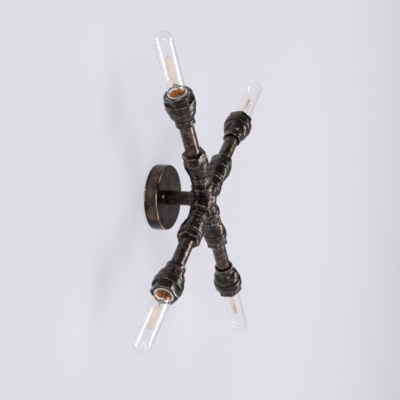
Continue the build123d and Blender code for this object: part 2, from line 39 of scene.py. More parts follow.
# Sizes below are in millimetres. Stations run from the centre of the cross outward along an arm,
# or from the wall outward along the stem, and a profile is a list of (radius, station).
mm = 0.001
mergeDistance = 1e-6
cutterPast = 1.0  # how far a cutter stands past the face it opens
crossCentre = Vector((0, -0.095, 0))
fixedBody = "light_fitting"
armOutward = {
    "upper_left": Vector((-1, 0, 1)).normalized(),
    "upper_right": Vector((1, 0, 1)).normalized(),
    "lower_left": Vector((-1, 0, -1)).normalized(),
    "lower_right": Vector((1, 0, -1)).normalized(),
}


def deselectAll():
    # an operator acts on all that is selected
    if bpy.context.object and bpy.context.object.mode != "OBJECT":
        bpy.ops.object.mode_set(mode="OBJECT")
    bpy.ops.object.select_all(action="DESELECT")


def pick(piece):
    deselectAll()
    piece.select_set(True)
    bpy.context.view_layer.objects.active = piece


def applyModifier(piece, kind, **settings):
    pick(piece)
    bpy.ops.object.modifier_add(type=kind)
    modifier = piece.modifiers[-1]
    for key, value in settings.items():
        setattr(modifier, key, value)
    bpy.ops.object.modifier_apply(modifier=modifier.name)


def roundOver(start, end, rise, count):
    # points of a bead that swells outward between two profile points
    points = []
    for i in range(1, count):
        t = i / count
        swell = rise * math.sqrt(1 - (2 * t - 1) ** 2)
        points.append((start[0] + (end[0] - start[0]) * t + swell, start[1] + (end[1] - start[1]) * t))
    return [start] + points + [end]


def arcPoints(centre, radius, parts, first=0):
    # a quarter round, from straight outward to straight along the axis
    angles = [math.pi / 2 * i / parts for i in range(first, parts + 1)]
    return [(centre[0] + radius * math.cos(angle), centre[1] + radius * math.sin(angle)) for angle in angles]


def finer(profile, spacing):
    # the same profile with points added, so that its faces stay short
    points = [profile[0]]
    for (r0, s0), (r1, s1) in zip(profile, profile[1:]):
        parts = max(1, math.ceil(math.hypot(r1 - r0, s1 - s0) / spacing))
        points += [(r0 + (r1 - r0) * i / parts, s0 + (s1 - s0) * i / parts) for i in range(1, parts + 1)]
    return points


def newPiece():
    # the primitive just added, with its place in its mesh
    bpy.ops.object.transform_apply(location=True, rotation=True, scale=True)
    return bpy.context.object


def startVertex(name, radius, station):
    # one vertex on the XZ plane, left in edit mode to be extruded
    deselectAll()
    bpy.ops.mesh.primitive_plane_add(size=mm, location=(radius * mm, 0, station * mm))
    piece = newPiece()
    piece.name = name
    bpy.ops.object.mode_set(mode="EDIT")
    bpy.ops.mesh.select_all(action="SELECT")
    bpy.ops.mesh.merge(type="CENTER")
    return piece


def extrudeBy(outward, along):
    bpy.ops.mesh.extrude_region_move(TRANSFORM_OT_translate={"value": (outward * mm, 0, along * mm)})


def mergeDoubles(distance=mergeDistance):
    bpy.ops.mesh.select_all(action="SELECT")
    bpy.ops.mesh.remove_doubles(threshold=distance)
    bpy.ops.mesh.select_all(action="SELECT")


def closeMesh():
    mergeDoubles()
    bpy.ops.mesh.normals_make_consistent(inside=False)
    bpy.ops.object.mode_set(mode="OBJECT")


def turned(name, profile, steps):
    # a lathe: one vertex is extruded along the profile, which is then spun round the Z axis
    piece = startVertex(name, *profile[0])
    points = profile + [profile[0]]
    for (r0, s0), (r1, s1) in zip(points, points[1:]):
        extrudeBy(r1 - r0, s1 - s0)
    mergeDoubles()
    bpy.ops.mesh.spin(steps=steps, angle=2 * math.pi, center=(0, 0, 0), axis=(0, 0, 1))
    closeMesh()
    return piece


def block(centre, size):
    deselectAll()
    bpy.ops.mesh.primitive_cube_add(size=1, location=[v * mm for v in centre], scale=[v * mm for v in size])
    return newPiece()


def cut(piece, cutter, operation):
    applyModifier(piece, "BOOLEAN", operation=operation, object=cutter, solver="EXACT")
    bpy.data.objects.remove(cutter)


def joined(name, *parts):
    # the last part takes in the others
    pick(parts[-1])
    for part in parts:
        part.select_set(True)
    bpy.ops.object.join()
    parts[-1].name = name
    return parts[-1]


def softEdges(piece, width, segments=2, angle=30):
    applyModifier(piece, "BEVEL", width=width * mm, segments=segments, limit_method="ANGLE",
                  angle_limit=math.radians(angle), miter_outer="MITER_ARC")


def smoothByAngle(piece, angle):
    pick(piece)
    bpy.ops.object.shade_smooth_by_angle(angle=math.radians(angle))


def place(piece, matrix):
    # the place goes into the mesh, as in a CAD node
    piece.data.transform(matrix)
    piece.matrix_world = Matrix.Identity(4)


def armMatrix(arm):
    # local Z runs outward along the arm and local X to the front
    outward = armOutward[arm]
    across = Vector((0, -1, 0))
    side = outward.cross(across)
    columns = Matrix((across, side, outward)).transposed().to_4x4()
    return Matrix.Translation(crossCentre) @ columns


wallMatrix = Matrix(((1, 0, 0, 0), (0, 0, -1, 0), (0, 1, 0, 0), (0, 0, 0, 1)))  # local Z becomes -Y


def copyOf(piece, name):
    twin = piece.copy()
    twin.data = piece.data.copy()
    twin.name = name
    bpy.context.collection.objects.link(twin)
    return twin


castClouds = bpy.data.textures.new("castClouds", "CLOUDS")
castClouds.noise_scale = 0.011
castClouds.noise_depth = 3


def unevenCasting(piece, strength):
    # the sand mould leaves the skin slightly uneven
    applyModifier(piece, "DISPLACE", texture=castClouds, texture_coords="LOCAL",
                  strength=strength * mm, mid_level=0.5)


def finish(piece, material, slot, body, *nodes):
    piece.data.materials.clear()
    piece.data.materials.append(material)
    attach(piece, body)
    if nodes:
        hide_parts(*nodes)


def tone(red, green, blue):
    # a colour given as it shows on screen, made linear
    def linear(value):
        share = value / 255
        return share / 12.92 if share <= 0.04045 else ((share + 0.055) / 1.055) ** 2.4
    return (linear(red), linear(green), linear(blue), 1.0)


def addNode(tree, kind, values=None, **settings):
    node = tree.nodes.new(kind)
    for key, value in settings.items():
        setattr(node, key, value)
    for key, value in (values or {}).items():
        node.inputs[key].default_value = value
    return node


def connect(tree, *links):
    # each link: the node and output it leaves, the node and input it enters
    for start, output, end, socket in links:
        tree.links.new(start.outputs[output], end.inputs[socket])


def newGroup(name, inputs, outputs):
    group = bpy.data.node_groups.new(name, "ShaderNodeTree")

    def addSocket(label, way):
        return group.interface.new_socket(name=label, in_out=way, socket_type="NodeSocketFloat")

    for label, value in inputs.items():
        addSocket(label, "INPUT").default_value = value
    for label in outputs:
        addSocket(label, "OUTPUT")
    nodes = [group.nodes.new(kind) for kind in ("NodeGroupInput", "NodeGroupOutput", "ShaderNodeTexCoord")]
    return group, *nodes


def softRange(tree, values=None):
    return addNode(tree, "ShaderNodeMapRange", values, interpolation_type="SMOOTHSTEP")


def makePatinaGroup():
    # clouds of brown over near-black, larger copper stains, dark mottling, and a fine grain
    group, entry, out, coordinates = newGroup(
        "patina", {"Cloud Scale": 70.0, "Grain Scale": 900.0, "Cloud Low": 0.42, "Cloud High": 0.64,
                   "Stain Scale": 40.0, "Stain Low": 0.55, "Stain High": 0.7, "Mottle Scale": 330.0},
        ["Cloud", "Grain", "Speck", "Stain", "Mottle"])
    cloud = addNode(group, "ShaderNodeTexNoise", {"Detail": 6.0, "Roughness": 0.62, "Distortion": 0.35})
    grain = addNode(group, "ShaderNodeTexNoise", {"Detail": 5.0, "Roughness": 0.7})
    speck = addNode(group, "ShaderNodeTexVoronoi", {"Randomness": 1.0})
    stain = addNode(group, "ShaderNodeTexNoise", {"Detail": 8.0, "Roughness": 0.7, "Distortion": 0.6})
    mottle = addNode(group, "ShaderNodeTexNoise", {"Detail": 3.0, "Roughness": 0.6})
    mottleMask = addNode(group, "ShaderNodeMapRange", {"From Min": 0.36, "From Max": 0.64})
    shift = addNode(group, "ShaderNodeVectorMath", {1: (0.31, 0.17, 0.23)}, operation="ADD")
    cloudMask = softRange(group)
    stainMask = softRange(group)
    speckMask = addNode(group, "ShaderNodeMapRange", {"From Min": 0.12, "From Max": 0.02})
    connect(
        group,
        (coordinates, "Object", cloud, "Vector"), (coordinates, "Object", grain, "Vector"),
        (coordinates, "Object", speck, "Vector"), (coordinates, "Object", mottle, "Vector"),
        (coordinates, "Object", shift, 0), (shift, "Vector", stain, "Vector"),
        (entry, "Cloud Scale", cloud, "Scale"), (entry, "Grain Scale", grain, "Scale"),
        (entry, "Grain Scale", speck, "Scale"), (entry, "Stain Scale", stain, "Scale"),
        (entry, "Mottle Scale", mottle, "Scale"),
        (cloud, "Fac", cloudMask, "Value"), (entry, "Cloud Low", cloudMask, "From Min"),
        (entry, "Cloud High", cloudMask, "From Max"),
        (stain, "Fac", stainMask, "Value"), (entry, "Stain Low", stainMask, "From Min"),
        (entry, "Stain High", stainMask, "From Max"),
        (speck, "Distance", speckMask, "Value"), (mottle, "Fac", mottleMask, "Value"),
        (cloudMask, "Result", out, "Cloud"), (grain, "Fac", out, "Grain"),
        (speckMask, "Result", out, "Speck"), (stainMask, "Result", out, "Stain"),
        (mottleMask, "Result", out, "Mottle"))
    return group


def makeRubAndLightGroup():
    # rubbed high edges, broken up by noise, as wear and painted highlight, and painted shade laid into the
    # corners by ambient occlusion
    group, entry, out, coordinates = newGroup(
        "rubbedEdgesAndPaintedLight", {"Edge Reach": 0.0016, "Edge Low": 0.08, "Edge High": 0.35, "Break Scale": 260.0,
                        "Patch Low": 0.62, "Patch High": 0.78, "Corner Reach": 0.004},
        ["RubAndHighlight", "CornerShade"])
    broken = addNode(group, "ShaderNodeTexNoise", {"Detail": 4.0, "Roughness": 0.65})
    inside = addNode(group, "ShaderNodeAmbientOcclusion", samples=6, inside=True, only_local=True)
    # painted shade: ambient occlusion darkens corners and the gaps between parts
    outside = addNode(group, "ShaderNodeAmbientOcclusion", samples=6)
    edgeMask = softRange(group)
    flipped = addNode(group, "ShaderNodeMath", {0: 1.0}, operation="SUBTRACT")
    mottleAndShade = softRange(group, {"From Min": 0.9, "From Max": 0.35})
    breakMask = addNode(group, "ShaderNodeMapRange", {"From Min": 0.3, "From Max": 0.52})
    patchMask = softRange(group)
    times = addNode(group, "ShaderNodeMath", operation="MULTIPLY")
    most = addNode(group, "ShaderNodeMath", operation="MAXIMUM")
    connect(
        group,
        (coordinates, "Object", broken, "Vector"), (entry, "Break Scale", broken, "Scale"),
        (entry, "Edge Reach", inside, "Distance"), (entry, "Corner Reach", outside, "Distance"),
        (inside, "AO", flipped, 1), (flipped, "Value", edgeMask, "Value"),
        (entry, "Edge Low", edgeMask, "From Min"), (entry, "Edge High", edgeMask, "From Max"),
        (outside, "AO", mottleAndShade, "Value"), (broken, "Fac", breakMask, "Value"),
        (broken, "Fac", patchMask, "Value"), (entry, "Patch Low", patchMask, "From Min"),
        (entry, "Patch High", patchMask, "From Max"),
        (edgeMask, "Result", times, 0), (breakMask, "Result", times, 1),
        (times, "Value", most, 0), (patchMask, "Result", most, 1),
        (most, "Value", out, "RubAndHighlight"), (mottleAndShade, "Result", out, "CornerShade"))
    return group


def makeHighlightRingGroup():
    # a painted highlight ring round the wall axis, broken up by noise, such as along the front edge of a
    # drawn cup
    group, entry, out, coordinates = newGroup(
        "paintedHighlightRing", {"Radius": 0.059, "Depth": 0.0235, "Width": 0.0014, "Break Scale": 120.0}, ["Ring"])
    split = addNode(group, "ShaderNodeSeparateXYZ")
    flat = addNode(group, "ShaderNodeCombineXYZ")
    length = addNode(group, "ShaderNodeVectorMath", operation="LENGTH")
    fromRadius = addNode(group, "ShaderNodeMath", operation="SUBTRACT")
    fromDepth = addNode(group, "ShaderNodeMath", operation="ADD")
    both = addNode(group, "ShaderNodeCombineXYZ")
    distance = addNode(group, "ShaderNodeVectorMath", operation="LENGTH")
    share = addNode(group, "ShaderNodeMath", operation="DIVIDE")
    ring = softRange(group, {"From Min": 1.0, "From Max": 0.3})
    broken = addNode(group, "ShaderNodeTexNoise", {"Detail": 4.0, "Roughness": 0.6})
    breakMask = addNode(group, "ShaderNodeMapRange", {"From Min": 0.34, "From Max": 0.6})
    times = addNode(group, "ShaderNodeMath", operation="MULTIPLY")
    connect(
        group,
        (coordinates, "Object", split, "Vector"), (split, "X", flat, "X"), (split, "Z", flat, "Z"),
        (flat, "Vector", length, 0), (length, "Value", fromRadius, 0), (entry, "Radius", fromRadius, 1),
        (split, "Y", fromDepth, 0), (entry, "Depth", fromDepth, 1),
        (fromRadius, "Value", both, "X"), (fromDepth, "Value", both, "Y"),
        (both, "Vector", distance, 0), (distance, "Value", share, 0), (entry, "Width", share, 1),
        (share, "Value", ring, "Value"),
        (coordinates, "Object", broken, "Vector"), (entry, "Break Scale", broken, "Scale"),
        (broken, "Fac", breakMask, "Value"),
        (ring, "Result", times, 0), (breakMask, "Result", times, 1), (times, "Value", out, "Ring"))
    return group


patinaGroup = makePatinaGroup()
rubAndLightGroup = makeRubAndLightGroup()
highlightRingGroup = makeHighlightRingGroup()


def newMaterial(name):
    material = bpy.data.materials.new(name)
    material.use_nodes = True
    return material, material.node_tree, material.node_tree.nodes["Principled BSDF"]


def mixColours(tree, factor, first, second):
    node = addNode(tree, "ShaderNodeMix", data_type="RGBA")
    colours = [socket for socket in node.inputs if socket.type == "RGBA"]
    tree.links.new(factor, node.inputs["Factor"])
    for socket, value in zip(colours, (first, second)):
        if isinstance(value, tuple):
            socket.default_value = value
        else:
            tree.links.new(value, socket)
    return [socket for socket in node.outputs if socket.type == "RGBA"][0]


def rangeOf(tree, value, low, high):
    node = addNode(tree, "ShaderNodeMapRange", {"To Min": low, "To Max": high})
    tree.links.new(value, node.inputs["Value"])
    return node.outputs["Result"]


def addBump(tree, shader, height, strength, depth):
    bump = addNode(tree, "ShaderNodeBump", {"Strength": strength, "Distance": depth * mm})
    tree.links.new(height, bump.inputs["Height"])
    tree.links.new(bump.outputs["Normal"], shader.inputs["Normal"])


def agedMetal(name, s):
    # dark patina with brown and copper in it, rubbed pale at the high edges as wear and painted highlight,
    # with painted shade in the corners
    material, tree, shader = newMaterial(name)
    link = tree.links.new
    patina = addNode(tree, "ShaderNodeGroup", node_tree=patinaGroup)
    rubAndLight = addNode(tree, "ShaderNodeGroup", node_tree=rubAndLightGroup)
    for key, value in s["patina"].items():
        patina.inputs[key].default_value = value
    for key, value in s["rubAndLight"].items():
        rubAndLight.inputs[key].default_value = value
    clouded = mixColours(tree, patina.outputs["Cloud"], s["dark"], s["brown"])
    stained = mixColours(tree, patina.outputs["Stain"], clouded, s["copper"])
    speckled = mixColours(tree, patina.outputs["Speck"], stained, s["copper"])
    mottling = rangeOf(tree, patina.outputs["Mottle"], s["mottle"], 0.0)
    mottled = mixColours(tree, mottling, speckled, s["mottleAndShade"])
    # painted shade: the near-black colour laid into corners and recesses
    cornerShaded = mixColours(tree, rubAndLight.outputs["CornerShade"], mottled, s["mottleAndShade"])
    # pale high edges and patches, partly wear and partly painted highlight, also made less metallic below
    worn = mixColours(tree, rubAndLight.outputs["RubAndHighlight"], cornerShaded, s["pale"])
    # painted highlight: a pale ring, such as along the canopy's front edge
    if "ring" in s:
        ring = addNode(tree, "ShaderNodeGroup", s["ring"], node_tree=highlightRingGroup)
        worn = mixColours(tree, ring.outputs["Ring"], worn, s["pale"])
    link(worn, shader.inputs["Base Color"])
    link(rangeOf(tree, rubAndLight.outputs["RubAndHighlight"], *s["metal"]), shader.inputs["Metallic"])
    link(rangeOf(tree, patina.outputs["Grain"], *s["rough"]), shader.inputs["Roughness"])
    addBump(tree, shader, patina.outputs["Grain"], s["bump"], s["bumpDepth"])
    shader.inputs["Coat Weight"].default_value = s["coat"]
    shader.inputs["Coat Roughness"].default_value = s["coatRough"]
    return material


castingLook = {
    "dark": tone(38, 33, 30), "brown": tone(94, 80, 70), "copper": tone(150, 114, 88),
    "pale": tone(236, 227, 217), "mottleAndShade": tone(8, 7, 6), "mottle": 0.66,
    "patina": {"Cloud Scale": 95.0, "Grain Scale": 700.0, "Cloud Low": 0.44, "Cloud High": 0.62,
               "Stain Scale": 52.0, "Stain Low": 0.56, "Stain High": 0.7, "Mottle Scale": 330.0},
    "rubAndLight": {"Edge Reach": 0.0018, "Edge Low": 0.12, "Edge High": 0.42, "Break Scale": 150.0,
            "Patch Low": 0.66, "Patch High": 0.8, "Corner Reach": 0.007},
    "metal": (0.94, 0.55), "rough": (0.2, 0.38), "bump": 0.65, "bumpDepth": 0.5,
    "coat": 0.4, "coatRough": 0.1,
}
pipeLook = {
    "dark": tone(44, 37, 33), "brown": tone(112, 94, 82), "copper": tone(152, 126, 106),
    "pale": tone(200, 186, 174), "mottleAndShade": tone(10, 9, 8), "mottle": 0.55,
    "patina": {"Cloud Scale": 110.0, "Grain Scale": 1500.0, "Cloud Low": 0.42, "Cloud High": 0.6,
               "Stain Scale": 90.0, "Stain Low": 0.54, "Stain High": 0.7, "Mottle Scale": 380.0},
    "rubAndLight": {"Edge Reach": 0.0012, "Edge Low": 0.12, "Edge High": 0.5, "Break Scale": 300.0,
            "Patch Low": 0.64, "Patch High": 0.8, "Corner Reach": 0.009},
    "metal": (0.94, 0.85), "rough": (0.25, 0.38), "bump": 0.3, "bumpDepth": 0.3,
    "coat": 0.4, "coatRough": 0.12,
}
# painted shade: the pipe's finish made darker for the stem, which sits in the canopy's shadow
shadedStemLook = dict(
    pipeLook, dark=tone(42, 36, 32), brown=tone(78, 65, 57), copper=tone(104, 86, 72),
    pale=tone(150, 136, 124), metal=(0.92, 0.8), rough=(0.34, 0.5), coat=0.1, coatRough=0.2)
canopyLook = {
    "dark": tone(36, 32, 30), "brown": tone(110, 93, 81), "copper": tone(150, 120, 100),
    "pale": tone(232, 190, 154), "mottleAndShade": tone(10, 9, 8), "mottle": 0.3,
    "patina": {"Cloud Scale": 42.0, "Grain Scale": 1300.0, "Cloud Low": 0.38, "Cloud High": 0.66,
               "Stain Scale": 60.0, "Stain Low": 0.55, "Stain High": 0.72, "Mottle Scale": 300.0},
    "rubAndLight": {"Edge Reach": 0.0004, "Edge Low": 0.2, "Edge High": 0.6, "Break Scale": 150.0,
            "Patch Low": 0.7, "Patch High": 0.85, "Corner Reach": 0.018},
    # painted highlight in copper along the canopy's rounded front edge
    "ring": {"Radius": 0.0592, "Depth": 0.0236, "Width": 0.0013, "Break Scale": 60.0},
    "metal": (0.93, 0.85), "rough": (0.19, 0.31), "bump": 0.25, "bumpDepth": 0.3,
    "coat": 0.15, "coatRough": 0.2,
}
castingMetal = agedMetal("agedCasting", castingLook)
pipeMetal = agedMetal("agedPipe", pipeLook)
shadedStemMetal = agedMetal("agedStemShaded", shadedStemLook)
canopyMetal = agedMetal("canopyFinish", canopyLook)

plainGrain = {"scale": 2200.0, "bump": 0.2}


def plainFinish(name, s):
    # plated, drawn, glazed or moulded: fine grain, slightly clouded
    material, tree, shader = newMaterial(name)
    scales = {"Cloud Scale": s["clouds"], "Grain Scale": plainGrain["scale"]}
    patina = addNode(tree, "ShaderNodeGroup", scales, node_tree=patinaGroup)
    colour = mixColours(tree, patina.outputs["Cloud"], s["colour"], s["worn"])
    tree.links.new(colour, shader.inputs["Base Color"])
    tree.links.new(rangeOf(tree, patina.outputs["Grain"], *s["rough"]), shader.inputs["Roughness"])
    addBump(tree, shader, patina.outputs["Grain"], plainGrain["bump"], s["bumpDepth"])
    shader.inputs["Metallic"].default_value = s["metallic"]
    return material


plainLooks = {
    "zincPlate": {"colour": tone(204, 204, 202), "worn": tone(168, 169, 170),
                  "rough": (0.34, 0.55), "metallic": 0.7, "clouds": 160.0, "bumpDepth": 0.1},
    "screwFinish": {"colour": tone(150, 146, 142), "worn": tone(120, 116, 112),
                    "rough": (0.25, 0.4), "metallic": 0.7, "clouds": 500.0, "bumpDepth": 0.05},
    "rolledBrass": {"colour": tone(242, 150, 30), "worn": tone(214, 108, 16),
                    "rough": (0.25, 0.42), "metallic": 0.4, "clouds": 260.0, "bumpDepth": 0.05},
    "capBrass": {"colour": tone(232, 164, 66), "worn": tone(206, 130, 42),
                 "rough": (0.22, 0.38), "metallic": 0.75, "clouds": 260.0, "bumpDepth": 0.05},
    "filamentWire": {"colour": tone(226, 176, 64), "worn": tone(190, 130, 36),
                     "rough": (0.2, 0.35), "metallic": 0.35, "clouds": 900.0, "bumpDepth": 0.01},
    "supportWire": {"colour": tone(96, 92, 90), "worn": tone(62, 58, 56),
                    "rough": (0.3, 0.5), "metallic": 0.9, "clouds": 900.0, "bumpDepth": 0.01},
    "glazedPorcelain": {"colour": tone(252, 251, 249), "worn": tone(246, 245, 241),
                        "rough": (0.1, 0.2), "metallic": 0.0, "clouds": 90.0, "bumpDepth": 0.05},
    "blackInsulator": {"colour": tone(34, 33, 38), "worn": tone(52, 50, 56),
                       "rough": (0.15, 0.3), "metallic": 0.0, "clouds": 400.0, "bumpDepth": 0.05},
    "terminalPlastic": {"colour": tone(222, 218, 206), "worn": tone(210, 205, 192),
                        "rough": (0.4, 0.55), "metallic": 0.0, "clouds": 200.0, "bumpDepth": 0.1},
    "leadSleeve": {"colour": tone(52, 46, 44), "worn": tone(66, 58, 54),
                   "rough": (0.5, 0.7), "metallic": 0.0, "clouds": 500.0, "bumpDepth": 0.2},
}
plain = {name: plainFinish(name, look) for name, look in plainLooks.items()}


def clearGlass(name, s):
    # drawn glass with the faintest cloud in it, which lets the lamps' light through
    material, tree, shader = newMaterial(name)
    patina = addNode(tree, "ShaderNodeGroup", s["patina"], node_tree=patinaGroup)
    colour = mixColours(tree, patina.outputs["Cloud"], s["colour"], s["clear"])
    tree.links.new(colour, shader.inputs["Base Color"])
    tree.links.new(rangeOf(tree, patina.outputs["Grain"], *s["rough"]), shader.inputs["Roughness"])
    shader.inputs["Transmission Weight"].default_value = 1.0
    shader.inputs["IOR"].default_value = s["ior"]
    path = addNode(tree, "ShaderNodeLightPath")
    through = addNode(tree, "ShaderNodeBsdfTransparent", {"Color": s["colour"]})
    choose = addNode(tree, "ShaderNodeMixShader")
    connect(tree, (path, "Is Shadow Ray", choose, "Fac"), (shader, "BSDF", choose, 1),
            (through, "BSDF", choose, 2), (choose, "Shader", tree.nodes["Material Output"], "Surface"))
    return material


bulbGlassLook = {
    "colour": tone(253, 253, 252), "clear": tone(255, 255, 255), "rough": (0.0, 0.0), "ior": 1.33,
    "patina": {"Cloud Scale": 30.0, "Grain Scale": 60.0},
}
mountGlassLook = dict(bulbGlassLook, colour=tone(248, 250, 249))
bulbGlass = clearGlass("clearGlass", bulbGlassLook)
mountGlass = clearGlass("mountGlass", mountGlassLook)
print("stage: materials made")


# An arm's fittings are modelled on the Z axis. The castings of each arm are turned about it
# by these degrees, as they stopped when screwed home.
castTurns = {
    "reducers": {"upper_left": 118, "upper_right": 140, "lower_left": 44, "lower_right": 250},
    "innerHexes": {"upper_left": 12, "upper_right": 40, "lower_left": 28, "lower_right": 5},
    "outerHexes": {"upper_left": 27, "upper_right": 49, "lower_left": 46, "lower_right": 56},
}


def padShape(s):
    # a plain raised pad on a casting, facing +X and rooted in its wall
    deselectAll()
    depth = s["proud"] + s["root"]
    bpy.ops.mesh.primitive_cylinder_add(
        vertices=s["sides"], radius=s["width"] / 2 * mm, depth=depth * mm, rotation=(0, math.pi / 2, 0),
        location=((s["radius"] + s["proud"] - depth / 2) * mm, 0, s["station"] * mm))
    return newPiece()


def castReducer(name, profile, s):
    piece = turned(name, finer(profile, s["spacing"]), s["steps"])
    cut(piece, padShape(s["pad"]), "UNION")
    softEdges(piece, s["edge"])
    return piece


innerReducerSizes = {
    "mouthRadius": 13.05, "boreRadius": 16.7, "boreDepth": 15.0, "threadEnd": 64.0,
    "neck": [(16.8, 49.0), (17.5, 49.6), (17.5, 51.2), (17.1, 51.8), (17.1, 55.6), (17.5, 56.2),
             (17.5, 57.6), (16.9, 58.2)],
    "flare": [(16.0, 58.8), (16.3, 60.5), (17.9, 64.0), (19.4, 69.0), (20.2, 74.0), (20.3, 77.8),
              (19.7, 78.6)],
    "band": [(20.6, 79.0), (21.7, 79.9), (21.8, 82.0), (21.8, 89.0), (21.7, 91.2), (21.0, 92.0)],
    "pad": {"sides": 4, "station": 72.5, "radius": 19.9, "width": 12.5, "proud": 1.2, "root": 3.0},
    "spacing": 2.2, "steps": 80, "edge": 0.25,
}


def innerReducerShape(s):
    start = s["neck"][0][1]
    end = s["band"][-1][1]
    profile = [(s["mouthRadius"], start)] + s["neck"] + s["flare"] + s["band"]
    profile += [(s["boreRadius"], end), (s["boreRadius"], end - s["boreDepth"]),
                (s["mouthRadius"], s["threadEnd"])]
    return castReducer("innerReducer", profile, s)


outerReducerSizes = {
    "threadRadius": 13.05, "mouthRadius": 15.25, "mouthDepth": 4.0, "boreRadius": 21.0,
    "boreDepth": 15.0, "threadEnd": 186.5,
    "neck": [(16.6, 171.5), (17.5, 172.2), (17.6, 174.0), (17.3, 175.0), (17.3, 180.5), (17.6, 181.5),
             (17.5, 183.0)],
    "flare": [(16.6, 183.6), (16.0, 184.2), (17.2, 185.8), (19.9, 188.4), (22.2, 192.0), (23.6, 196.5),
              (24.2, 201.0), (24.0, 204.8), (23.3, 205.6)],
    "band": [(24.6, 206.0), (26.1, 207.0), (26.7, 208.8), (26.8, 213.0), (26.8, 219.8), (26.5, 221.0),
             (25.8, 221.5)],
    "pad": {"sides": 32, "station": 197.5, "radius": 23.6, "width": 12.0, "proud": 1.1, "root": 3.0},
    "spacing": 2.2, "steps": 88, "edge": 0.25,
}


def outerReducerShape(s):
    start = s["neck"][0][1]
    end = s["band"][-1][1]
    profile = [(s["threadRadius"], start + s["mouthDepth"]), (s["mouthRadius"], start)]
    profile += s["neck"] + s["flare"] + s["band"]
    profile += [(s["boreRadius"], end), (s["boreRadius"], end - s["boreDepth"]),
                (s["threadRadius"], s["threadEnd"])]
    return castReducer("outerReducer", profile, s)


hexForm = {"chamfer": 30, "margin": 3, "below": 2, "steps": 96, "segments": 3, "edgeAngle": 25}


def hexBlock(name, s, turn):
    # a hexagon whose outer corners are turned off at the chamfer's angle
    deselectAll()
    start = s["hexStart"]
    length = s["hexLength"]
    flat = s["acrossFlats"] / 2
    corner = s["acrossFlats"] / math.sqrt(3)
    bpy.ops.mesh.primitive_cylinder_add(vertices=6, radius=corner * mm, depth=length * mm,
                                        location=(0, 0, (start + length / 2) * mm))
    piece = newPiece()
    piece.name = name
    first = piece.data.vertices[0].co
    piece.data.transform(Matrix.Rotation(math.radians(turn) - math.atan2(first.y, first.x), 4, "Z"))
    base = start - hexForm["below"]
    reach = corner + hexForm["margin"]
    slope = math.tan(math.radians(hexForm["chamfer"]))
    profile = [(0, base), (reach, base), (reach, start + length - (reach - flat) * slope),
               (flat, start + length), (0, start + length)]
    cut(piece, turned("cone", profile, hexForm["steps"]), "INTERSECT")
    return piece


def hexFitting(name, s, turn, body, bore):
    piece = hexBlock(name, s, turn)
    cut(piece, turned("body", body, s["steps"]), "UNION")
    cut(piece, turned("bore", bore, s["boreSteps"]), "DIFFERENCE")
    softEdges(piece, s["edge"], hexForm["segments"], hexForm["edgeAngle"])
    return piece


innerBushingSizes = {
    "acrossFlats": 37.6, "hexStart": 96.0, "hexLength": 11.5, "collarRadius": 20.3, "collarStart": 92.0,
    "collarSwell": 0.5, "swellParts": 4, "shoulder": 1.5, "overlap": 0.4,
    "threadRadius": 16.65, "threadStart": 79.0, "boreRadius": 13.05, "mouthGap": 0.98, "mouthDepth": 1.2,
    "steps": 80, "boreSteps": 80, "edge": 0.35,
}


def innerBushingShape(s, turn):
    face = s["hexStart"] + s["hexLength"]
    rim = s["collarRadius"] - s["collarSwell"]
    top = s["hexStart"] + s["overlap"]
    body = [(0, s["threadStart"]), (s["threadRadius"], s["threadStart"]),
            (s["threadRadius"], s["collarStart"])]
    body += roundOver((rim, s["collarStart"]), (rim, s["hexStart"]), s["collarSwell"], s["swellParts"])
    body += [(s["collarRadius"] - s["shoulder"], top), (0, top)]
    low = s["threadStart"] - cutterPast
    high = face + cutterPast
    bore = [(0, low), (s["boreRadius"], low), (s["boreRadius"], face - s["mouthDepth"]),
            (s["boreRadius"] + s["mouthGap"], high), (0, high)]
    return hexFitting("innerBushing", s, turn, body, bore)


socketBushingSizes = {
    "acrossFlats": 43.4, "hexStart": 222.3, "hexLength": 13.7, "overlap": 0.4,
    "threadRadius": 20.95, "threadStart": 206.5, "boreRadius": 16.65, "ledge": 2.0, "ledgeRadius": 15.55,
    "steps": 80, "boreSteps": 80, "edge": 0.45,
}


def socketBushingShape(s, turn):
    top = s["hexStart"] + s["overlap"]
    body = [(0, s["threadStart"]), (s["threadRadius"], s["threadStart"]), (s["threadRadius"], top), (0, top)]
    seat = s["threadStart"] + s["ledge"]
    low = s["threadStart"] - cutterPast
    high = s["hexStart"] + s["hexLength"] + cutterPast
    bore = [(0, low), (s["ledgeRadius"], low), (s["ledgeRadius"], seat), (s["boreRadius"], seat),
            (s["boreRadius"], high), (0, high)]
    return hexFitting("socketBushing", s, turn, body, bore)


nippleSizes = {
    "acrossFlats": 31.0, "hexStart": 36.5, "hexLength": 12.5, "threadRadius": 13.0, "reach": 13.0,
    "boreRadius": 9.5, "steps": 64, "boreSteps": 48, "edge": 0.4,
}


def nippleShape(s, turn):
    start = s["hexStart"] - s["reach"]
    end = s["hexStart"] + s["hexLength"] + s["reach"]
    body = [(0, start), (s["threadRadius"], start), (s["threadRadius"], end), (0, end)]
    low = start - cutterPast
    high = end + cutterPast
    bore = [(0, low), (s["boreRadius"], low), (s["boreRadius"], high), (0, high)]
    return hexFitting("hexNipple", s, turn, body, bore)


pipeSizes = {
    "radius": 13.0, "bore": 10.0, "start": 84.0, "end": 186.5, "threadTurns": 5, "pitch": 1.8,
    "threadDepth": 0.45, "lead": 2.0, "chamfer": 0.6, "spacing": 6.0, "steps": 72,
}


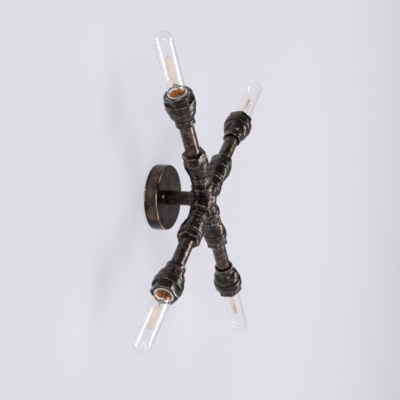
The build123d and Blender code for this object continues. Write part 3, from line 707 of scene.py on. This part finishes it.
def pipeShape(s):
    # the last turns of the thread show beside the outer reducer
    profile = [(s["bore"], s["start"]), (s["radius"], s["start"])]
    first = s["end"] - s["threadTurns"] * s["pitch"] - s["lead"]
    for i in range(s["threadTurns"]):
        station = first + i * s["pitch"]
        profile += [(s["radius"], station), (s["radius"] - s["threadDepth"], station + s["pitch"] / 2)]
    profile += [(s["radius"], s["end"] - s["lead"]), (s["radius"] - s["chamfer"], s["end"]),
                (s["bore"], s["end"])]
    return turned("armPipe", finer(profile, s["spacing"]), s["steps"])


holderSizes = {
    "rivet": 1.95, "back": 196.0, "lower": 15.4, "seat": 208.5, "radius": 16.5, "face": 235.8, "mouth": 14.6,
    "shellEnd": 226.0, "pocket": 13.8, "floor": 199.0, "steps": 80, "edge": 0.35, "segments": 3,
}


def holderShape(s):
    # (radius, station) by name, from the rivet's hole round the outside to the pocket's floor
    corners = [("rivet", "back"), ("lower", "back"), ("lower", "seat"), ("radius", "seat"),
               ("radius", "face"), ("mouth", "face"), ("mouth", "shellEnd"), ("pocket", "shellEnd"),
               ("pocket", "floor"), ("rivet", "floor")]
    profile = [(s[radius], s[station]) for radius, station in corners]
    piece = turned("lampholder", profile, s["steps"])
    softEdges(piece, s["edge"], s["segments"])
    return piece


threadSizes = {"pitch": 3.629, "depth": 0.55, "turns": 4, "parts": 8, "steps": 56}


def threadSleeve(name, radius, start, wall, s):
    # rolled thread: one wave of the profile carried up the helix, with a wall inside it
    piece = startVertex(name, radius, start)
    last = 0.0
    for i in range(1, s["parts"] + 1):
        swell = -s["depth"] * (1 - math.cos(2 * math.pi * i / s["parts"])) / 2
        extrudeBy(swell - last, s["pitch"] / s["parts"])
        last = swell
    bpy.ops.object.mode_set(mode="OBJECT")
    applyModifier(piece, "SCREW", axis="Z", angle=2 * math.pi, screw_offset=s["pitch"] * mm,
                  iterations=s["turns"], steps=s["steps"], render_steps=s["steps"],
                  use_merge_vertices=True, merge_threshold=mergeDistance)
    pick(piece)
    bpy.ops.object.mode_set(mode="EDIT")
    closeMesh()
    applyModifier(piece, "SOLIDIFY", thickness=wall * mm, offset=-1)
    return piece


capSizes = {
    "radius": 12.95, "start": 203.5, "taperEnd": 206.5, "end": 226.5, "tip": 8.5, "wall": 0.7,
    # (inset from the radius, height from the taper's end) and (inset, height from the cap's end)
    "skirt": [(1.2, -0.6), (0.5, 0), (0.5, 1.5), (1.0, 1.5), (1.0, 0.4)],
    "rim": [(0.55, -3.2), (0.1, -2.2), (0, -1.4), (0, 0), (0.7, 0), (1.1, -3.2)],
    "threadStart": -0.6, "threadWall": 0.35, "steps": 64,
}


def capShape(s):
    skirt = [(s["radius"] - inset, s["taperEnd"] + height) for inset, height in s["skirt"]]
    rim = [(s["radius"] - inset, s["end"] + height) for inset, height in s["rim"]]
    skirt = [(s["tip"], s["start"])] + skirt + [(s["tip"], s["start"] + s["wall"])]
    capEnd = turned("capEnd", skirt, s["steps"])
    capRim = turned("capRim", rim, s["steps"])
    thread = threadSleeve("capThread", s["radius"], s["taperEnd"] + s["threadStart"],
                          s["threadWall"], threadSizes)
    return joined("bulbCap", capRim, thread, capEnd)


shellSizes = {
    "radius": 13.75, "start": 199.0, "end": 226.0, "wall": 0.5, "floorWidth": 5.0, "stub": 3.4,
    "lipRadius": 14.5, "lipEnd": 234.3, "threadGap": 0.02, "threadStart": 2.6, "threadWall": 0.1, "steps": 64,
}


def shellShape(s):
    # plain at both ends, with the rolled thread between them
    radius, wall, start, end = s["radius"], s["wall"], s["start"], s["end"]
    hole = radius - s["floorWidth"]
    bore = radius - wall
    low = [(hole, start), (radius, start), (radius, start + s["stub"]), (bore, start + s["stub"]),
           (bore, start + wall), (hole, start + wall)]
    high = [(bore, end - s["stub"]), (radius, end - s["stub"]), (radius, end),
            (s["lipRadius"], s["lipEnd"]), (s["lipRadius"] - wall, s["lipEnd"]), (bore, end)]
    shellEnd = turned("shellEnd", low, s["steps"])
    shellRim = turned("shellRim", high, s["steps"])
    thread = threadSleeve("shellThread", radius + s["threadGap"], start + s["threadStart"],
                          s["threadWall"], threadSizes)
    return joined("screwShell", shellRim, thread, shellEnd)


glassSizes = {
    "radius": 15.8, "wall": 0.9, "tip": 354.0, "domeParts": 12, "steps": 96,
    "neck": [(12.35, 217.5), (12.35, 228.6), (12.5, 230.0), (12.95, 232.0), (13.6, 234.6), (14.35, 237.5),
             (15.0, 240.0), (15.5, 242.4), (15.74, 244.6), (15.8, 247.0)],
}


def glassShape(s):
    centre = (0, s["tip"] - s["radius"])
    outer = s["neck"] + arcPoints(centre, s["radius"], s["domeParts"])
    inner = [(r - s["wall"], station) for r, station in s["neck"]]
    inner += arcPoints(centre, s["radius"] - s["wall"], s["domeParts"])
    piece = turned("bulbGlass", outer + inner[::-1], s["steps"])
    pick(piece)
    bpy.ops.object.shade_smooth()
    return piece


mountSizes = {
    "flare": [(10.2, 218.5), (10.8, 219.1), (6.2, 223.5), (4.4, 226.5), (4.0, 230.5), (4.0, 244.0)],
    "rod": [(2.8, 247.0), (1.44, 253.0), (0.9, 254.5), (0.9, 305.8)],
    "button": [(1.8, 306.8), (1.44, 307.7), (0, 308.0)],
    "hollowEnd": [(0, 245.0), (2.4, 244.4)],
    "wall": 0.8, "press": (9.2, 3.4, 8.0), "pressStation": 249.0, "pressEdge": 1.2, "pressSegments": 4,
    "steps": 40,
}


def mountShape(s):
    # a thin hollow flare and tube, closed by a flat press that holds the rod
    hollow = [(r - s["wall"], station) for r, station in s["flare"]]
    profile = s["flare"] + s["rod"] + s["button"] + s["hollowEnd"] + hollow[::-1]
    piece = turned("bulbMount", profile, s["steps"])
    press = block((0, 0, s["pressStation"]), s["press"])
    softEdges(press, s["pressEdge"], s["pressSegments"])
    cut(piece, press, "UNION")
    return piece


def wireShape(name, runs, radius):
    # round wires along the given runs of points, made a mesh
    curve = bpy.data.curves.new(name, "CURVE")
    curve.dimensions = "3D"
    curve.bevel_depth = radius * mm
    curve.bevel_resolution = 2
    for run in runs:
        spline = curve.splines.new("POLY")
        spline.points.add(len(run) - 1)
        for point, (x, y, z) in zip(spline.points, run):
            point.co = (x * mm, y * mm, z * mm, 1)
    piece = bpy.data.objects.new(name, curve)
    bpy.context.collection.objects.link(piece)
    pick(piece)
    bpy.ops.object.convert(target="MESH")
    return bpy.context.object


def around(radius, angle, station):
    return (radius * math.cos(angle), radius * math.sin(angle), station)


filamentSizes = {
    "base": 262.0, "top": 303.0, "circle": 5.0, "strands": 8, "wire": 0.23, "foot": 2.6, "lead": 253.0,
    "parts": 8, "sag": 0.18, "waves": 3,
}


def filamentShape(s):
    # one wire, up and down in turn round the rod, with a gap between its two feet
    turnAngle = 2 * math.pi / (s["strands"] + 1)
    route = [(s["foot"], 0, s["lead"])]
    for strand in range(s["strands"]):
        angle = strand * turnAngle
        start, end = (s["base"], s["top"]) if strand % 2 == 0 else (s["top"], s["base"])
        for i in range(s["parts"] + 1):
            share = i / s["parts"]
            sag = s["sag"] * math.sin(share * math.pi * s["waves"] + strand)
            route.append(around(s["circle"] + sag, angle, start + (end - start) * share))
    route.append(around(s["foot"], angle, s["lead"]))
    return wireShape("filament", [route], s["wire"])


supportSizes = {"wire": 0.16, "hubRadius": 0.5, "lowHub": 3.0, "pastTurn": 0.4, "bend": 0.6, "bendRise": 0.4}


def supportShape(s, filament):
    # a hook for each turn of the filament, from the button above or the rod below
    turnAngle = 2 * math.pi / (filament["strands"] + 1)
    reach = filament["circle"] * math.cos(turnAngle / 2)
    runs = []
    for strand in range(filament["strands"]):
        angle = (strand + 0.5) * turnAngle
        if strand % 2 == 0:
            hub = mountSizes["button"][0][1]
            station = filament["top"] + s["pastTurn"]
        elif strand < filament["strands"] - 1:
            hub = filament["base"] - s["lowHub"]
            station = filament["base"] - s["pastTurn"]
        else:
            continue  # the two feet need none
        runs.append([around(s["hubRadius"], angle, hub),
                     around(s["bend"] * reach, angle, (hub + station) / 2 + s["bendRise"]),
                     around(reach, angle, station)])
    return wireShape("filamentSupports", runs, s["wire"])


contactSizes = {
    "start": 199.9, "top": 206.5, "radius": 8.35, "capStart": 203.5, "steps": 48,
    "button": [(2.4, 0), (3.0, 0.5), (3.5, 1.1)],  # heights above the start
    "shoulder": (1.6, 1.2),
}


def contactShape(s):
    profile = [(0, s["start"])] + [(r, s["start"] + height) for r, height in s["button"]]
    profile += [(s["radius"] - s["shoulder"][0], s["capStart"] - s["shoulder"][1]),
                (s["radius"], s["capStart"]), (s["radius"], s["top"]), (0, s["top"])]
    return turned("bulbContact", profile, s["steps"])


# shape, material, slot, unevenness of the skin, and the angle up to which it shades smooth
armShapes = {
    "inner_reducer": (innerReducerShape(innerReducerSizes), castingMetal, "aged_casting", 0.35, 45),
    "outer_reducer": (outerReducerShape(outerReducerSizes), castingMetal, "aged_casting", 0.4, 45),
    "arm_pipe": (pipeShape(pipeSizes), pipeMetal, "aged_pipe", 0.12, 30),
    "lampholder": (holderShape(holderSizes), plain["glazedPorcelain"], "porcelain", 0, 40),
}
bulbShapes = {
    "bulb_cap": (capShape(capSizes), plain["capBrass"], "brass"),
    "bulb_glass": (glassShape(glassSizes), bulbGlass, "clear_glass"),
    "bulb_mount": (mountShape(mountSizes), mountGlass, "mount_glass"),
    "bulb_filament": (filamentShape(filamentSizes), plain["filamentWire"], "filament_wire"),
}
supportWires = supportShape(supportSizes, filamentSizes)
contactPiece = contactShape(contactSizes)
shellPiece = shellShape(shellSizes)
smoothAngles = {"hexes": 35, "rolled": 50, "contact": 40}
print("stage: arm shapes modelled")

for arm in armOutward:
    matrix = armMatrix(arm)
    turnedMatrix = matrix @ Matrix.Rotation(math.radians(castTurns["reducers"][arm]), 4, "Z")
    for node, (shape, material, slot, uneven, angle) in armShapes.items():
        piece = copyOf(shape, node + ".cast." + arm)
        place(piece, turnedMatrix)
        if uneven:
            unevenCasting(piece, uneven)
        smoothByAngle(piece, angle)
        finish(piece, material, slot, fixedBody, node + "_" + arm)
    hexes = {
        "hex_nipple": nippleShape(nippleSizes, castTurns["innerHexes"][arm]),
        "inner_bushing": innerBushingShape(innerBushingSizes, castTurns["innerHexes"][arm]),
        "socket_bushing": socketBushingShape(socketBushingSizes, castTurns["outerHexes"][arm]),
    }
    for node, piece in hexes.items():
        piece.name = node + ".cast." + arm
        place(piece, matrix)
        smoothByAngle(piece, smoothAngles["hexes"])
        finish(piece, castingMetal, "aged_casting", fixedBody, node + "_" + arm)
    piece = copyOf(shellPiece, "screwShell." + arm)
    place(piece, matrix)
    smoothByAngle(piece, smoothAngles["rolled"])
    finish(piece, plain["rolledBrass"], "brass", fixedBody, "screw_shells")
    bulbBody = "bulb_" + arm
    for node, (shape, material, slot) in bulbShapes.items():
        piece = copyOf(shape, node + ".made." + arm)
        place(piece, matrix)
        if node != "bulb_glass":
            smoothByAngle(piece, smoothAngles["rolled"])
        finish(piece, material, slot, bulbBody, node + "_" + arm)
    piece = copyOf(supportWires, "filamentSupports." + arm)
    place(piece, matrix)
    finish(piece, plain["supportWire"], "filament_wire", bulbBody)
    piece = copyOf(contactPiece, "bulbContact." + arm)
    place(piece, matrix)
    smoothByAngle(piece, smoothAngles["contact"])
    finish(piece, plain["blackInsulator"], "base_insulator", "bulb_base_" + arm, "bulb_contact_" + arm)
patterns = [entry[0] for entry in list(armShapes.values()) + list(bulbShapes.values())]
for shape in patterns + [supportWires, contactPiece, shellPiece]:
    bpy.data.objects.remove(shape)
print("stage: arms placed")


# The cross is the CAD solid's own form, given a cast skin and a rounded band round each port.
crossSkin = {
    "voxel": 0.75, "smooth": 6, "smoothFactor": 0.5, "uneven": 0.45, "mergeDistance": 1e-5, "smoothAngle": 40,
    "band": [(14.2, 25.4), (18.4, 25.4), (19.3, 26.1), (19.6, 27.6), (19.3, 28.6), (19.2, 33.4),
             (19.6, 34.4), (19.6, 35.6), (18.9, 36.5), (14.2, 36.5)],
    "bandSpacing": 2.0, "bandSteps": 80, "bandEdge": 0.25,
}
piece = copyOf(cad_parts["cross"], "cross.cast")
piece.parent = None
for key in list(piece.keys()):
    if key.startswith("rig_"):
        del piece[key]
pick(piece)
bpy.ops.object.mode_set(mode="EDIT")
mergeDoubles(crossSkin["mergeDistance"])
bpy.ops.object.mode_set(mode="OBJECT")
applyModifier(piece, "REMESH", mode="VOXEL", voxel_size=crossSkin["voxel"] * mm)
applyModifier(piece, "SMOOTH", factor=crossSkin["smoothFactor"], iterations=crossSkin["smooth"])
unevenCasting(piece, crossSkin["uneven"])
bands = []
for arm in armOutward:
    band = turned("portBand", finer(crossSkin["band"], crossSkin["bandSpacing"]), crossSkin["bandSteps"])
    softEdges(band, crossSkin["bandEdge"])
    place(band, armMatrix(arm))
    bands.append(band)
cut(piece, joined("portBands", *bands), "UNION")  # the four bands join the cross in one union
smoothByAngle(piece, crossSkin["smoothAngle"])
finish(piece, castingMetal, "aged_casting", fixedBody, "cross")
print("stage: cross cast")


canopySizes = {
    "radius": 60.0, "depth": 24.4, "wall": 1.2, "edge": 3.5, "hole": 10.3, "edgeParts": 8,
    "faceRings": [45.0, 30.0], "backRings": [45.0], "notchWidth": 21.0, "notchDepth": 2.5,
    "steps": 128, "smoothAngle": 35,
}


def canopyShape(s):
    # a drawn cup with a rounded front edge, a hole for the stem, and two notches at the wall
    back = s["depth"] - s["wall"]
    bore = s["radius"] - s["wall"]
    turnStart = s["depth"] - s["edge"]
    centre = (s["radius"] - s["edge"], turnStart)
    outer = [(s["radius"], 0), (s["radius"], turnStart)] + arcPoints(centre, s["edge"], s["edgeParts"], 1)
    inner = [(bore, 0), (bore, turnStart)] + arcPoints(centre, s["edge"] - s["wall"], s["edgeParts"], 1)
    outer += [(ring, s["depth"]) for ring in s["faceRings"]] + [(s["hole"], s["depth"])]
    inner += [(ring, back) for ring in s["backRings"]] + [(s["hole"], back)]
    piece = turned("canopyCup", outer + inner[::-1], s["steps"])
    acrossCup = 3 * s["radius"]
    cut(piece, block((0, 0, 0), (acrossCup, s["notchWidth"], 2 * s["notchDepth"])), "DIFFERENCE")
    return piece


piece = canopyShape(canopySizes)
place(piece, wallMatrix)
smoothByAngle(piece, canopySizes["smoothAngle"])
finish(piece, canopyMetal, "canopy_finish", fixedBody, "canopy")

stemSizes = {
    "bore": 10.0, "radius": 13.0, "front": 81.0, "shoulder": 24.4, "shoulderEdge": (0.4, 0.5),
    "spigot": 9.9, "spigotEnd": 15.7, "spigotEdge": (0.5, 0.5), "spigotBore": 7.8, "boreFloor": 3.0,
    "spacing": 6.0, "steps": 72, "uneven": 0.12, "smoothAngle": 30,
}


def stemShape(s):
    # a tube that narrows to a spigot, which passes through the canopy
    floorStation = s["shoulder"] + s["boreFloor"]
    profile = [(s["bore"], s["front"]), (s["radius"], s["front"]),
               (s["radius"], s["shoulder"] + s["shoulderEdge"][1]),
               (s["radius"] - s["shoulderEdge"][0], s["shoulder"]),
               (s["spigot"], s["shoulder"]), (s["spigot"], s["spigotEnd"] + s["spigotEdge"][1]),
               (s["spigot"] - s["spigotEdge"][0], s["spigotEnd"]), (s["spigotBore"], s["spigotEnd"]),
               (s["spigotBore"], floorStation), (s["bore"], floorStation)]
    return turned("stemTube", finer(profile, s["spacing"]), s["steps"])


piece = stemShape(stemSizes)
place(piece, wallMatrix)
unevenCasting(piece, stemSizes["uneven"])
smoothByAngle(piece, stemSizes["smoothAngle"])
finish(piece, shadedStemMetal, "aged_pipe", fixedBody, "stem_pipe")

# nodes that show as the CAD made them
cadLooks = {
    "mounting_strap": "zincPlate", "stem_locknut": "zincPlate", "lock_washer": "zincPlate",
    "canopy_screws": "screwFinish", "terminal_block": "terminalPlastic", "lead_wires": "leadSleeve",
    "centre_contacts": "rolledBrass",
}
for node, look in cadLooks.items():
    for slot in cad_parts[node].material_slots:
        slot.material = plain[look]
print("stage: canopy and stem done")


stageLook = {
    "wall": tone(219, 218, 225), "floor": tone(219, 218, 224), "plain": 0.7, "rough": 0.9, "specular": 0.1,
    "size": 12, "wallAt": (0, 0.0002, 0), "floorAt": (0, 0, -1.4),
}


def stageMaterial(name, colour, oneSided):
    # part of the surface is its own plain colour, which softens the shadows
    material, tree, shader = newMaterial(name)
    shader.inputs["Base Color"].default_value = colour
    shader.inputs["Roughness"].default_value = stageLook["rough"]
    shader.inputs["Specular IOR Level"].default_value = stageLook["specular"]
    glow = addNode(tree, "ShaderNodeEmission", {"Color": colour})
    blend = addNode(tree, "ShaderNodeMixShader", {"Fac": stageLook["plain"]})
    connect(tree, (shader, "BSDF", blend, 1), (glow, "Emission", blend, 2))
    last = blend
    if oneSided:
        geometry = addNode(tree, "ShaderNodeNewGeometry")
        clear = addNode(tree, "ShaderNodeBsdfTransparent")
        last = addNode(tree, "ShaderNodeMixShader")
        connect(tree, (geometry, "Backfacing", last, "Fac"), (blend, "Shader", last, 1),
                (clear, "BSDF", last, 2))
    connect(tree, (last, "Shader", tree.nodes["Material Output"], "Surface"))
    return material


def stagePlane(name, at, rotation, paint):
    deselectAll()
    bpy.ops.mesh.primitive_plane_add(size=stageLook["size"], location=at, rotation=rotation)
    plane = bpy.context.object
    plane.name = name
    plane.data.materials.append(paint)
    return plane


wallPaint = stageMaterial("wallPaint", stageLook["wall"], True)  # clear from behind
wall = stagePlane("wallPlane", stageLook["wallAt"], (math.pi / 2, 0, 0), wallPaint)
floorPaint = stageMaterial("floorPaint", stageLook["floor"], False)
floor = stagePlane("floorPlane", stageLook["floorAt"], (0, 0, 0), floorPaint)

lampAim = Vector((0, -0.09, 0))
softBoxes = {
    "frontStrip": {"at": (1.55, -2.75, 0.0), "size": (0.7, 3.8), "power": 94, "colour": (1, 0.99, 0.975)},
    "keyBox": {"at": (-1.3, -2.2, -0.9), "size": (2.0, 2.0), "power": 8, "colour": (1, 1, 1)},
    "sideBox": {"at": (-1.75, -1.1, 0.05), "size": (0.55, 0.55), "power": 11, "colour": (1, 1, 1)},
    "rimBox": {"at": (2.3, -0.98, 0.12), "size": (0.45, 0.45), "power": 0.1, "colour": (1, 1, 1)},
}


def addSoftBox(name, s):
    deselectAll()
    bpy.ops.object.light_add(type="AREA", location=s["at"])
    lamp = bpy.context.object
    lamp.name = name
    lamp.data.shape = "RECTANGLE"
    lamp.data.size, lamp.data.size_y = s["size"]
    lamp.data.energy = s["power"]
    lamp.data.color = s["colour"]
    aim = lampAim - Vector(s["at"])
    lamp.rotation_euler = aim.to_track_quat("-Z", "Y").to_euler()


for name, settings in softBoxes.items():
    addSoftBox(name, settings)

# the world lights the piece softly, and shows brighter to the camera and through glass
airLook = {"colour": tone(226, 225, 232), "seen": 0.86, "light": 0.22}
world = bpy.data.worlds.new("studioAir")
bpy.context.scene.world = world
world.use_nodes = True
air = world.node_tree
sky = air.nodes["Background"]
sky.inputs["Color"].default_value = airLook["colour"]
path = addNode(air, "ShaderNodeLightPath")
seen = addNode(air, "ShaderNodeMath", operation="MAXIMUM")
level = addNode(air, "ShaderNodeMapRange", {"To Min": airLook["light"], "To Max": airLook["seen"]})
connect(air, (path, "Is Camera Ray", seen, 0), (path, "Is Transmission Ray", seen, 1),
        (seen, "Value", level, "Value"), (level, "Result", sky, "Strength"))

cameraSizes = {
    "lens": 85.5, "sensor": 36, "near": 0.01, "at": (-1.6051, -0.6931, -0.0601),
    "right": (0.35193, -0.93373, 0.06554), "up": (-0.05502, 0.04927, 0.99727),
    "back": (-0.93441, -0.35457, -0.03403),
}
deselectAll()
bpy.ops.object.camera_add()
camera = bpy.context.object
camera.name = "photoCamera"
camera.data.lens = cameraSizes["lens"]
camera.data.sensor_width = cameraSizes["sensor"]
camera.data.clip_start = cameraSizes["near"]
turn = Matrix((cameraSizes["right"], cameraSizes["up"], cameraSizes["back"])).transposed().to_4x4()
camera.matrix_world = Matrix.Translation(Vector(cameraSizes["at"])) @ turn
bpy.context.scene.camera = camera
bpy.context.scene.view_settings.view_transform = "Standard"
print("stage: stage, lights and camera set")
